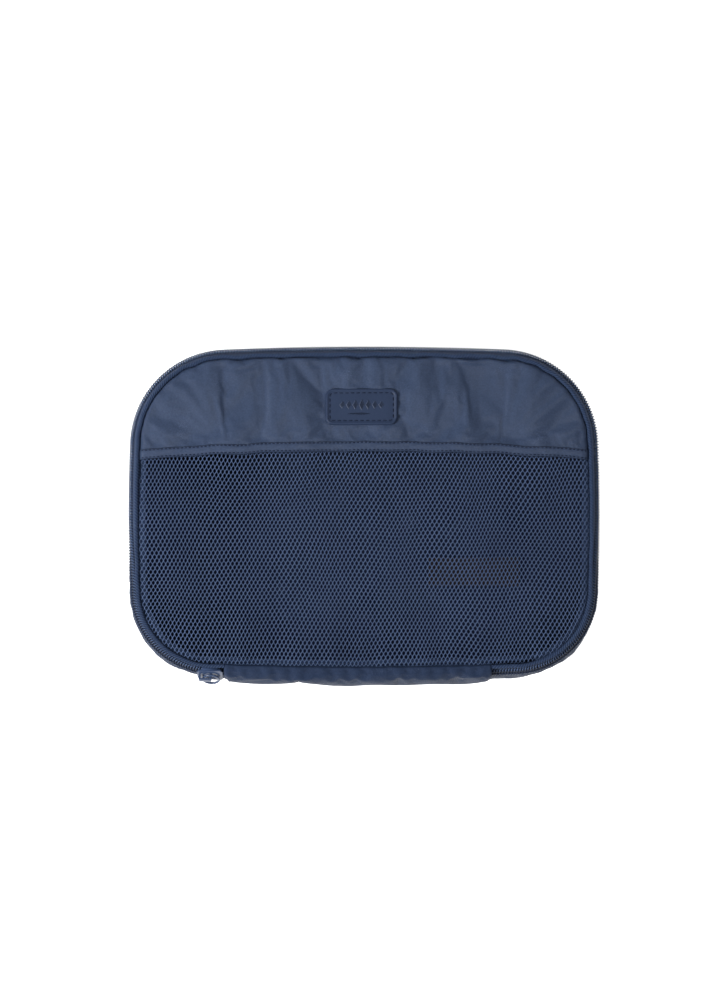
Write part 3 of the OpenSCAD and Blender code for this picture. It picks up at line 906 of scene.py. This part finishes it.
def lid_cloth():
    """The satin panel behind the hem, slack between its seam and the hem."""
    step = 1.25 * MM
    columns = np.arange(-half_w, half_w + step, step)
    rows = np.arange(0, half_d - hem_y + hem_sag, step)
    x, v = np.meshgrid(columns, rows)
    piece = panel_mesh("lid_cloth", x, hem_line(x) + v, lid_height)
    flat = coordinates(piece.data)
    s, inset = nearest(flat[:, 0], flat[:, 1])
    low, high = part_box("badge_patch")
    under = np.all((flat[:, :2] > low[:2]) & (flat[:, :2] < high[:2]), axis=1)
    sewn = (inset < edge_inset(s) + 0.3 * step) | (flat[:, 1] < hem_line(flat[:, 0]) + hem_w)
    pinned = sewn | under
    settle(piece, pinned, grow=0.03, pressure=0.35, frames=30, cap=3.0 * MM)
    return piece


def lid_hem(surface):
    """The doubled, turned edge of the satin panel, lying on the net's top edge."""
    across = np.linspace(0, 1, 15)
    ends = half_w - seam_inset - 1.0 * MM
    x, v = np.meshgrid(np.linspace(-1, 1, 190), across)
    y = hem_line(x * ends) + v * hem_w
    reach = np.array([max_half_width(row) for row in y[:, 0]])[:, None]
    x = x * reach
    y = hem_line(x) + v * hem_w
    grooves = sum(np.exp(-(((v - row) / 0.09) ** 2)) for row in stitch_rows)
    ridge = np.clip(np.minimum(v, 1 - v) / 0.08, 0, 1) ** 0.5
    z = heights(surface, x, y) + 0.10 * MM + (0.80 * ridge - 0.28 * grooves) * MM
    z += 0.13 * MM * swells(x, y, 21, 0.004, 0.012)
    piece = new_mesh("satin_hem", np.stack([x, y, z], -1).reshape(-1, 3), grid_faces(*x.shape)[:, ::-1],
                     np.stack([x, y], -1).reshape(-1, 2))
    return finish_faces(thicken(piece, cloth_t, -1))


def max_half_width(y):
    """Half width of the lid inside its seam at y."""
    x = np.linspace(0.5 * half_w, half_w, 400)
    s, inset = nearest(x, np.full_like(x, y))
    return x[inset > edge_inset(s) + 0.1 * MM][-1]


def running_stitches(points, pitch, share, lift, radius):
    """Short threads along a line of points, each dipping into the cloth at both ends."""
    run = np.concatenate([[0], np.cumsum(np.linalg.norm(np.diff(points, axis=0), axis=1))])
    count = int(run[-1] / pitch)
    paths = []
    for i in range(count):
        middle = (i + 0.5) * run[-1] / count
        t = np.linspace(-0.5, 0.5, 7)
        at = middle + t * share * pitch
        path = np.stack([np.interp(at, run, points[:, k]) for k in range(3)], -1)
        path[:, 2] += lift * (1 - (2 * np.abs(t)) ** 3) - 0.5 * radius
        paths.append(path)
    return paths


def hem_stitches(surface):
    """Two rows of stitches along the hem."""
    paths = []
    x = np.linspace(-1, 1, 300) * (max_half_width(hem_y - 0.8 * hem_sag) - 0.8 * MM)
    for row in stitch_rows:
        y = hem_line(x) + row * hem_w
        line = np.stack([x, y, heights(surface, x, y)], -1)
        paths += running_stitches(line, stitch_pitch, stitch_share, 0.30 * MM, hem_thread)
    return thread_piece("hem_stitches", paths, hem_thread)


def net_selvage(x, y):
    """Faces that close the net's outer edge, where a cell's rim meets no other cell."""
    i = np.arange(6)
    j = (i + 1) % 6
    middle = np.stack([(x[:, i] + x[:, j]) / 2, (y[:, i] + y[:, j]) / 2], -1)
    key = np.round(middle.reshape(-1, 2) / (0.02 * MM)).astype(int)
    _, back, count = np.unique(key, axis=0, return_inverse=True, return_counts=True)
    alone = np.flatnonzero(count[back.ravel()] == 1)
    base, i = 18 * (alone // 6), alone % 6
    j = (i + 1) % 6
    return np.stack([base + j, base + i, base + 12 + i, base + 12 + j], -1)


def lid_net():
    """Warp-knitted net: staggered lens-shaped holes, each ringed by a share of the yarn round it."""
    knot = 0.38 * MM                         # half the upright stretch of a cell's rim
    pull_x, pull_y = 0.75 * MM, 0.65 * MM    # how far the knit is pulled out of line
    rim = [(net_across / 2, knot), (0, net_along / 2 - knot), (-net_across / 2, knot),
           (-net_across / 2, -knot), (0, knot - net_along / 2), (net_across / 2, -knot)]
    w, h, tip = hole_half
    hole = [(w, h), (0, tip), (-w, h), (-w, -h), (0, -tip), (w, -h)]
    rows = np.arange(-round(half_d / net_along * 2), round(hem_y / net_along * 2) + 2)
    centres = []
    for r in rows:
        shift = net_across / 2 if r % 2 else 0.0
        x = np.arange(-half_w - net_across, half_w + net_across, net_across) + shift
        centres.append(np.stack([x, np.full_like(x, r * net_along / 2)], -1))
    centres = np.concatenate(centres)
    s, inset = nearest(centres[:, 0], centres[:, 1])
    keep = (inset > edge_inset(s) - 0.2 * MM) & (centres[:, 1] < hem_line(centres[:, 0]) + 2.4 * MM)
    centres = centres[keep]
    ring = np.concatenate([np.array(rim), np.array(hole)])
    flat = centres[:, None, :] + ring[None]
    x = flat[..., 0] + pull_x * swells(flat[..., 0], flat[..., 1], 31, 0.03, 0.09)
    y = flat[..., 1] + pull_y * swells(flat[..., 0], flat[..., 1], 32, 0.03, 0.09)
    x, y, _ = onto_seam(x, y)
    under = 0.7 * MM * ease(y, hem_line(x) - 1.2 * MM, hem_line(x) + 0.2 * MM)
    z = lid_height(x, y) - 0.15 * MM - under
    z += 0.22 * MM * swells(x, y, 33, 0.012, 0.04)
    bulge = np.where(np.arange(12) < 6, net_thick, 0.0)
    top = np.stack([x, y, z + bulge], -1)
    low = np.stack([x, y, z - bulge], -1)
    vertices = np.concatenate([top, low[:, :6]], 1)
    faces = []
    for i in range(6):
        j = (i + 1) % 6
        faces += [(i, j, 6 + j, 6 + i), (12 + j, 12 + i, 6 + i, 6 + j)]
    faces = (np.array(faces)[None] + 18 * np.arange(len(centres))[:, None, None]).reshape(-1, 4)
    faces = np.concatenate([faces, net_selvage(x[:, :6], y[:, :6])])
    uv = np.concatenate([flat, flat[:, :6]], 1)
    # Painted light on the yarn: each cell's rim painted lit, the hole's edge in painted shade.
    painted_lit_rims = np.tile([1.0] * 6 + [0.0] * 6 + [1.0] * 6, len(centres))
    piece = new_mesh("lid_net", vertices.reshape(-1, 3), faces, uv.reshape(-1, 2), crease=180)
    mark_painted_light(piece, painted_lit_rims)
    return finish_faces(piece, merge=0.03 * MM)


def badge_outline(inset):
    """The badge's rounded rectangle, drawn in by inset."""
    low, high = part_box("badge_patch")
    half = Vector((high.x - low.x, high.y - low.y)) / 2 - Vector((inset, inset))
    middle = (low + high) / 2
    r = max(4.0 * MM - inset, 0.8 * MM)
    points = []
    for quarter in range(4):
        sx, sy = ((1, 1), (-1, 1), (-1, -1), (1, -1))[quarter]
        for a in np.radians(90 * quarter + np.linspace(0, 90, 10)):
            points.append((middle.x + sx * (half.x - r) + r * math.cos(a),
                           middle.y + sy * (half.y - r) + r * math.sin(a)))
    return np.array(points)


def badge(surface):
    """The moulded patch: a rounded rim round a sunk, level face."""
    profile = [(0.0, -0.6), (-0.15, 0.5), (0.1, 1.05), (0.6, 1.35), (1.1, 1.3), (1.5, 0.95),
               (1.9, 0.80), (2.6, 0.80), (4.2, 0.86), (6.4, 0.88)]
    rings = []
    for inset, height in profile:
        flat = badge_outline(inset * MM)
        rings.append(np.column_stack([flat, heights(surface, flat[:, 0], flat[:, 1]) + height * MM]))
    rings = np.array(rings)
    columns = rings.shape[1]
    faces = grid_faces(len(rings), columns, False, True).tolist()
    last = (len(rings) - 1) * columns
    faces += [[last + k, last + k + 1, last + columns - 2 - k, last + columns - 1 - k]
              for k in range(columns // 2 - 1)]
    faces += [[k + 1, k, columns - 1 - k, columns - 2 - k] for k in range(columns // 2 - 1)]
    points = rings.reshape(-1, 3)
    piece = new_mesh("badge", points, faces, points[:, :2], crease=180)
    return finish_faces(piece, merge=0.01 * MM)


def badge_emblem(surface):
    """A plain ornament on the badge: a row of small raised lozenges over a thin bar."""
    low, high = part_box("badge_patch")
    middle = (low + high) / 2
    vertices, faces = [], []

    def stud(cx, cy, half_x, half_y, rise):
        """A lozenge with its top drawn in."""
        base = len(vertices)
        z = float(heights(surface, np.array([cx]), np.array([cy]))[0])
        for scale, height in ((1, -0.2 * MM), (1, 0.6 * rise), (0.7, rise)):
            for dx, dy in ((half_x, 0), (0, half_y), (-half_x, 0), (0, -half_y)):
                vertices.append((cx + dx * scale, cy + dy * scale, z + height))
        faces.extend((grid_faces(3, 4, False, True) + base).tolist())
        faces.append([base + 8, base + 9, base + 10, base + 11])
        faces.append([base + 3, base + 2, base + 1, base])

    for k in range(-3, 4):
        stud(middle.x + k * 3.4 * MM, middle.y + 0.9 * MM, 1.4 * MM, (2.8 - 0.3 * abs(k)) * MM, 0.4 * MM)
    stud(middle.x, middle.y - 3.7 * MM, 7.5 * MM, 0.5 * MM, 0.3 * MM)
    piece = new_mesh("badge_emblem", vertices, faces, np.array(vertices)[:, :2], crease=30)
    return finish_faces(piece)


def badge_stitches(surface):
    """One row of stitches inside the badge's rim."""
    flat = badge_outline(2.2 * MM)
    flat = np.concatenate([flat, flat[:1]])
    line = np.column_stack([flat, heights(surface, flat[:, 0], flat[:, 1])])
    paths = running_stitches(line, 2.9 * MM, 0.6, 0.24 * MM, badge_thread)
    return thread_piece("badge_stitches", paths, badge_thread)


def lid_seam_tape():
    """The bound seam allowance that runs round inside the lid."""
    s = np.linspace(0, girth, 420, endpoint=False)
    n = edge_inset(s) + 1.6 * MM
    ripple = 0.25 * MM * rounds(s, 41, 0.006, 0.02)
    line = points_at(s, (n, lid_top - 2.95 * MM), (n + 0.9 * MM, lid_top - 3.2 * MM + ripple),
                     (n + 1.9 * MM, lid_top - 3.1 * MM + ripple))
    return ribbon("lid_seam_tape", s, np.array(line), 1.0 * MM, closed=True)


def lid_pieces():
    """The lid's two panels and all that is sewn to them; gives back the two sheets."""
    cloth = lid_cloth()
    thicken(cloth, cloth_t, -1)
    dress(cloth, "lid", satin, "nylon", "lid_fabric_panel")
    hem = dress(lid_hem(cloth), "lid", satin, "nylon", "lid_hem")
    dress(hem_stitches(hem), "lid", sewing_thread, "thread", "lid_hem_stitching")
    net = dress(lid_net(), "lid", net_yarn, "mesh", "lid_mesh_panel")
    dress(lid_seam_tape(), "lid", binding_cloth, "binding", "lid_binding")
    patch = dress(badge(cloth), "lid", badge_face, "badge", "badge_patch")
    dress(badge_emblem(patch), "lid", emblem_face, "badge")
    dress(badge_stitches(patch), "lid", sewing_thread, "thread", "badge_stitching")
    return cloth, net


# ---- Base and gussets --------------------------------------------------------------------

def bulge(s):
    """How far the cloth stands out: along the hinge side, the front corners, and one place on the right."""
    point, _ = outline(s)
    share = np.clip(np.abs(point[..., 0]) / half_w, 0, 1)
    front = hinge_bulge * np.cos(math.pi / 2 * share**1.5) + corner_bulge * ease(share, 0.55, 0.85)
    side = side_bulge * np.exp(-(((point[..., 1] - bulge_y) / (15 * MM)) ** 2))
    return front * ease(-point[..., 1], 0.01, 0.06) + side * (point[..., 0] > 0)


def tucked(s):
    """How far the side wall's ends go in behind the hinge wall."""
    return 0.7 * MM * (ease(start_s + 1.2 * MM - s, 0, 2.4 * MM) + ease(s - end_s + 1.2 * MM, 0, 2.4 * MM))


def turned_in(s, ends):
    """How far the cloth turns in at the upright seams, where side wall and hinge wall are joined."""
    return sum(0.4 * MM * np.exp(-np.abs(s - end) / (0.7 * MM)) for end in ends)


def gathers(s, seed):
    """Small gathers that a sewn edge draws into the cloth."""
    return rounds(s, seed, 0.006, 0.018)


def gusset_wall():
    """The side wall below the zip, soft between its foot and its turned top edge."""
    s = stations(start_s - 1.8 * MM, end_s + 1.8 * MM, 1.6 * MM)
    fold = chain(s, -flat_tape, 0.0)[..., 0] - 0.15 * MM
    foot = foot_inset + wall_foot
    seam = tucked(s)
    line = points_at(s, (foot + seam, 0.5 * MM), (foot + seam, 2.2 * MM))
    for share in (0.14, 0.26, 0.38, 0.5, 0.62, 0.74, 0.86, 0.94):
        out = np.sin(math.pi * share) ** 0.8
        n = foot + (fold - foot) * ease(share, 0, 0.5) - out * (0.2 * MM + bulge(s)) + seam
        n = n - 0.25 * MM * rounds(s, 51 + round(share * 4), 0.02, 0.07) * out
        n = n - 0.18 * MM * gathers(s, 57) * (ease(share, 0.5, 0.95) + ease(-share, -0.3, -0.1))
        line += points_at(s, (n, share * gusset_top))
    line += points_at(s, (fold + seam, gusset_top), (fold + 0.3 * MM + seam, gusset_top - 0.35 * MM),
                      (fold + 0.35 * MM + seam, gusset_top - 2.0 * MM))
    return wall("gusset_wall", s, flowing(line, 3), (5, 28), 0.6 * MM)


def hinge_wall():
    """The hinge side's wall: it rolls over the top edge into the lid's seam."""
    s = stations(end_s - girth, start_s, 1.2 * MM)
    foot = foot_inset + wall_foot
    crest = -bulge(s)
    gather = 0.30 * MM * gathers(s, 61)
    slack = rounds(s, 62, 0.025, 0.08)
    seam = turned_in(s, (end_s - girth, start_s))
    line = points_at(s, (foot + seam, 0.5 * MM), (foot + seam, 2.0 * MM))
    for share in (0.08, 0.18, 0.3, 0.44, 0.58, 0.72):
        n = crest * np.sin(math.pi * min(0.5, share)) ** 0.8 + foot * (1 - share) ** 3 - 0.1 * MM
        line += points_at(s, (n - 0.5 * MM * slack * math.sin(math.pi * share) + seam, share * lid_top))
    edge = edge_inset(s)
    line += points_at(s, (crest + 0.6 * MM + seam, lid_top - 10 * MM),
                      (crest + 2.0 * MM + seam, lid_top - 4.0 * MM + 0.4 * gather - seam),
                      (crest + 4.6 * MM, lid_top - 1.1 * MM + 0.8 * gather - seam),
                      (edge - 1.7 * MM, lid_top - 0.75 * MM + gather - seam),
                      (edge - 0.5 * MM, lid_top - 1.2 * MM + 0.3 * gather - seam),
                      (edge - 0.1 * MM, lid_top - 2.3 * MM), (edge + 1.4 * MM, lid_top - 2.8 * MM))
    return wall("hinge_wall", s, flowing(line, 3), (5, 33), 1.3 * MM)


def floor_panel():
    """The base cloth, lying on the ground with a few soft folds."""
    step = 2.5 * MM
    x, y = np.meshgrid(np.arange(-half_w, half_w + step, step), np.arange(-half_d, half_d + step, step))

    def height(x, y):
        """Flat on the ground, with folds that fade out at the edge."""
        fold = np.maximum(0, swells(x, y, 71, 0.03, 0.12)) ** 2
        return 0.5 * MM + 1.6 * MM * fold * ease(nearest(x, y)[1], 0.004, 0.03)

    piece = panel_mesh("floor_panel", x, y, height, foot_inset)
    return finish_faces(thicken(piece, cloth_t, 0))


def base_seam_tape():
    """The bound seam allowance that runs round inside the base."""
    s = np.linspace(0, girth, 360, endpoint=False)
    n = foot_inset + 1.1 * MM
    ripple = 0.3 * MM * rounds(s, 81, 0.008, 0.02)
    line = points_at(s, (n, 0.9 * MM), (n + 0.6 * MM, 1.5 * MM + ripple), (n + 1.9 * MM, 1.7 * MM + ripple))
    return ribbon("base_seam_tape", s, np.array(line), 0.8 * MM, closed=True)


def care_label():
    """A blank woven label lying on the base cloth, one corner lifting."""
    low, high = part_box("care_label")
    x, y = np.meshgrid(np.linspace(low.x, high.x, 40), np.linspace(low.y, high.y, 16))
    far = (x - low.x) / (high.x - low.x)
    z = 2.4 * MM + 1.5 * MM * far**2 + 0.5 * MM * swells(x, y, 91, 0.02, 0.05)
    piece = new_mesh("label_ribbon", np.stack([x, y, z], -1).reshape(-1, 3), grid_faces(*x.shape),
                     np.stack([x, y], -1).reshape(-1, 2))
    return finish_faces(thicken(piece, label_t, 0))


def bar_tack_stitches(cloth):
    """Close zigzag stitches at both ends of the zip, through the hinge wall."""
    low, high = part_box("bar_tacks")
    tree = BVHTree.FromObject(cloth, bpy.context.evaluated_depsgraph_get())
    paths = []
    for x, way in ((low.x, 1), (high.x, -1)):
        zigzag = []
        for k, z in enumerate(np.linspace(low.z, high.z, 25)):
            at = x + way * (0.1 + 0.8 * (k % 2)) * MM
            hit = tree.ray_cast(Vector((at, -1.0, z)), Vector((0, 1, 0)))[0]
            zigzag.append((at, hit.y - 0.12 * MM, z))
        paths.append(np.array(zigzag))
    side = [np.broadcast_to([0.0, -1.0, 0.0], p.shape) for p in paths]
    return thread_piece("bar_tack_stitches", paths, 0.16 * MM, outward=side)


def base_pieces():
    """The two walls, the base cloth and what is sewn to them; gives back the four sheets."""
    side = dress(gusset_wall(), "base", painted_shade_satin, "nylon", "side_gusset")
    hinge = dress_hinge(hinge_wall(), *wall_bend, painted_shade_satin, "nylon", "hinge_gusset")
    ground = dress(floor_panel(), "base", base_cloth_painted_shade, "nylon", "base_panel")
    dress(base_seam_tape(), "base", binding_cloth, "binding", "base_binding")
    label = dress(care_label(), "base", label_weave, "label", "care_label")
    dress(bar_tack_stitches(hinge), "base", sewing_thread, "thread", "bar_tacks")
    return side, hinge, ground, label


# ---- Slider and ring ---------------------------------------------------------------------

def zip_slider():
    """The slider with its cast edges rounded."""
    piece = bpy.data.objects.new("zip_slider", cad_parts["slider_body"].data.copy())
    bpy.context.scene.collection.objects.link(piece)
    b = bmesh.new()
    b.from_mesh(piece.data)
    bmesh.ops.remove_doubles(b, verts=b.verts, dist=1e-6)
    bmesh.ops.dissolve_limit(b, angle_limit=math.radians(2), verts=b.verts, edges=b.edges)
    b.to_mesh(piece.data)
    b.free()
    bevel = piece.modifiers.new("cast_edge", "BEVEL")
    bevel.width = 0.25 * MM
    bevel.segments = 3
    bevel.limit_method = "ANGLE"
    bevel.angle_limit = math.radians(35)
    apply_modifiers(piece)
    piece.data.shade_smooth()
    piece.data.set_sharp_from_angle(angle=math.radians(50))
    return piece


def metal_pieces():
    """The slider, and the ring, whose own round solid only takes the enamel."""
    dress(zip_slider(), "slider", enamel, "painted_metal", "slider_body")
    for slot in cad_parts["pull_ring"].material_slots:
        slot.material = enamel


# ---- Stage -------------------------------------------------------------------------------

def stage():
    """A wide sheet of paper just below the cube, a plain world and two soft lamps."""
    size, level = 3.0, -0.5 * MM
    ground = new_mesh("studio_floor", [(-size, -size, level), (size, -size, level), (size, size, level),
                                       (-size, size, level)], [(0, 1, 2, 3)])
    ground.data.materials.append(paper)
    world = bpy.data.worlds.new("studio")
    world.use_nodes = True
    world.node_tree.nodes["Background"].inputs["Color"].default_value = rgb(1, 1, 1)
    world.node_tree.nodes["Background"].inputs["Strength"].default_value = 0.50
    bpy.context.scene.world = world
    for name, place_at, width, power in (("key", (-1.25, -0.35, 1.2), 0.5, 48.0),
                                         ("fill", (0.9, 0.8, 1.5), 1.2, 8.0)):
        light = bpy.data.lights.new(name, "AREA")
        light.energy = power
        light.size = width
        lamp = bpy.data.objects.new(name, light)
        lamp.location = place_at
        lamp.rotation_euler = (-Vector(place_at)).to_track_quat("-Z", "Y").to_euler()
        bpy.context.scene.collection.objects.link(lamp)


def camera():
    """Almost straight above the lid, leaning back a little towards the hinge side."""
    far, seen_height, tilt = 1.6, 0.5245, math.radians(2.0)
    aim = Vector((-0.0021, 0.0072, lid_top - 0.005))
    lens = bpy.data.cameras.new("camera")
    lens.sensor_width = 36.0
    lens.lens = lens.sensor_width * far / seen_height
    eye = bpy.data.objects.new("camera", lens)
    back = Vector((0, -math.sin(tilt), math.cos(tilt)))
    eye.location = aim + far * back
    eye.rotation_euler = (-back).to_track_quat("-Z", "Y").to_euler()
    bpy.context.scene.collection.objects.link(eye)
    bpy.context.scene.camera = eye
    bpy.context.scene.view_settings.view_transform = "Standard"


camera()
stage()
zip_pieces()
lid_panel, lid_mesh = lid_pieces()
side_wall, front_wall, base_sheet, blank_label = base_pieces()
metal_pieces()
